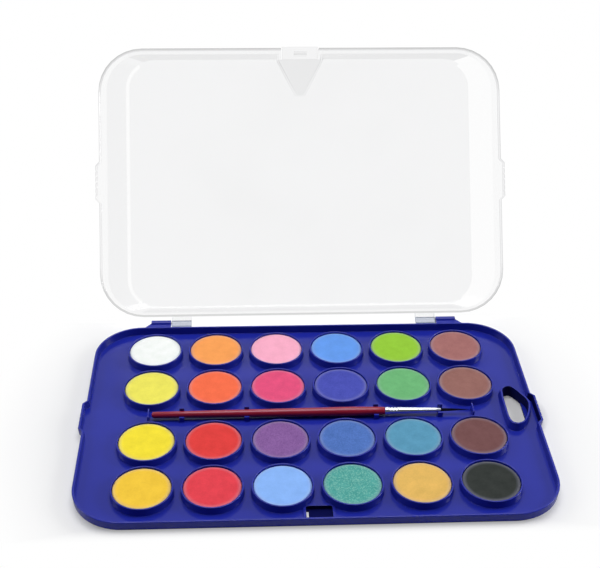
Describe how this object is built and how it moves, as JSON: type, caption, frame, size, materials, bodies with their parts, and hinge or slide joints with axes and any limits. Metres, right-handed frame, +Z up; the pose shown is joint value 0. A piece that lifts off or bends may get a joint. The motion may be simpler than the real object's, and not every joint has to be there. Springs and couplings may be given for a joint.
{
  "type": "watercolour paint box",
  "caption": "Flat watercolour box: shallow tray with round paint tablets in collars, a brush in clips, a thumb hole and a clear hinged lid with a flexing latch.",
  "frame": {"origin": "middle of the tray's underside, on the surface that the tray stands on", "axes": "+X to the right as the user sees the open box, +Y away from the user towards the hinge, +Z up. The lid stands open on its stop, so the box is longest along +Y and shortest along +Z."},
  "size_m": [0.2556, 0.2741, 0.1462],
  "materials": {
    "tray_plastic": "glossy deep blue injection-moulded plastic",
    "clear_plastic": "clear polished moulded plastic",
    "handle_paint": "wood with a glossy red lacquer",
    "ferrule_metal": "bright drawn aluminium, crimped",
    "brush_hair": "dark fine hair drawn to a point",
    "paint_white": "matt pressed watercolour paint",
    "paint_light_orange": "matt pressed watercolour paint",
    "paint_pink": "matt pressed watercolour paint",
    "paint_sky_blue": "matt pressed watercolour paint",
    "paint_lime_green": "matt pressed watercolour paint",
    "paint_rose_brown": "matt pressed watercolour paint",
    "paint_lemon_yellow": "matt pressed watercolour paint",
    "paint_vermilion": "matt pressed watercolour paint",
    "paint_magenta": "matt pressed watercolour paint",
    "paint_ultramarine": "matt pressed watercolour paint",
    "paint_green": "matt pressed watercolour paint",
    "paint_light_brown": "matt pressed watercolour paint",
    "paint_yellow": "matt pressed watercolour paint",
    "paint_red": "matt pressed watercolour paint",
    "paint_violet": "matt pressed watercolour paint",
    "paint_blue": "matt pressed watercolour paint",
    "paint_turquoise": "matt pressed watercolour paint",
    "paint_dark_brown": "matt pressed watercolour paint",
    "paint_golden_yellow": "matt pressed watercolour paint",
    "paint_crimson": "matt pressed watercolour paint",
    "paint_light_blue": "matt pressed watercolour paint",
    "paint_emerald": "matt pressed watercolour paint",
    "paint_ochre": "matt pressed watercolour paint",
    "paint_black": "matt pressed watercolour paint"
  },
  "bodies": {
    "tray": {"tray": "tray_plastic", "paint_white": "paint_white", "paint_light_orange": "paint_light_orange", "paint_pink": "paint_pink", "paint_sky_blue": "paint_sky_blue", "paint_lime_green": "paint_lime_green", "paint_rose_brown": "paint_rose_brown", "paint_lemon_yellow": "paint_lemon_yellow", "paint_vermilion": "paint_vermilion", "paint_magenta": "paint_magenta", "paint_ultramarine": "paint_ultramarine", "paint_green": "paint_green", "paint_light_brown": "paint_light_brown", "paint_yellow": "paint_yellow", "paint_red": "paint_red", "paint_violet": "paint_violet", "paint_blue": "paint_blue", "paint_turquoise": "paint_turquoise", "paint_dark_brown": "paint_dark_brown", "paint_golden_yellow": "paint_golden_yellow", "paint_crimson": "paint_crimson", "paint_light_blue": "paint_light_blue", "paint_emerald": "paint_emerald", "paint_ochre": "paint_ochre", "paint_black": "paint_black"},
    "lid": {"lid": "clear_plastic"},
    "latch": {"latch_tab": "clear_plastic"},
    "brush": {"brush_handle": "handle_paint", "brush_ferrule": "ferrule_metal", "brush_hair": "brush_hair"}
  },
  "joints": [
    {"name": "lid_hinge", "type": "hinge", "parent": "tray", "child": "lid", "pos_m": [0, 0.0878, 0.0065], "axis": [1, 0, 0], "range_deg": [0, 125]},
    {"name": "latch_flex", "type": "hinge", "parent": "lid", "child": "latch", "pos_m": [0, 0.18527, 0.13907], "axis": [1, 0, 0], "range_deg": [0, 8], "stiffness_Nm_per_rad": 0.3},
    {"name": "brush_lift", "type": "slide", "parent": "tray", "child": "brush", "axis": [0, 0, 1], "range_m": [0, 0.05]}
  ]
}
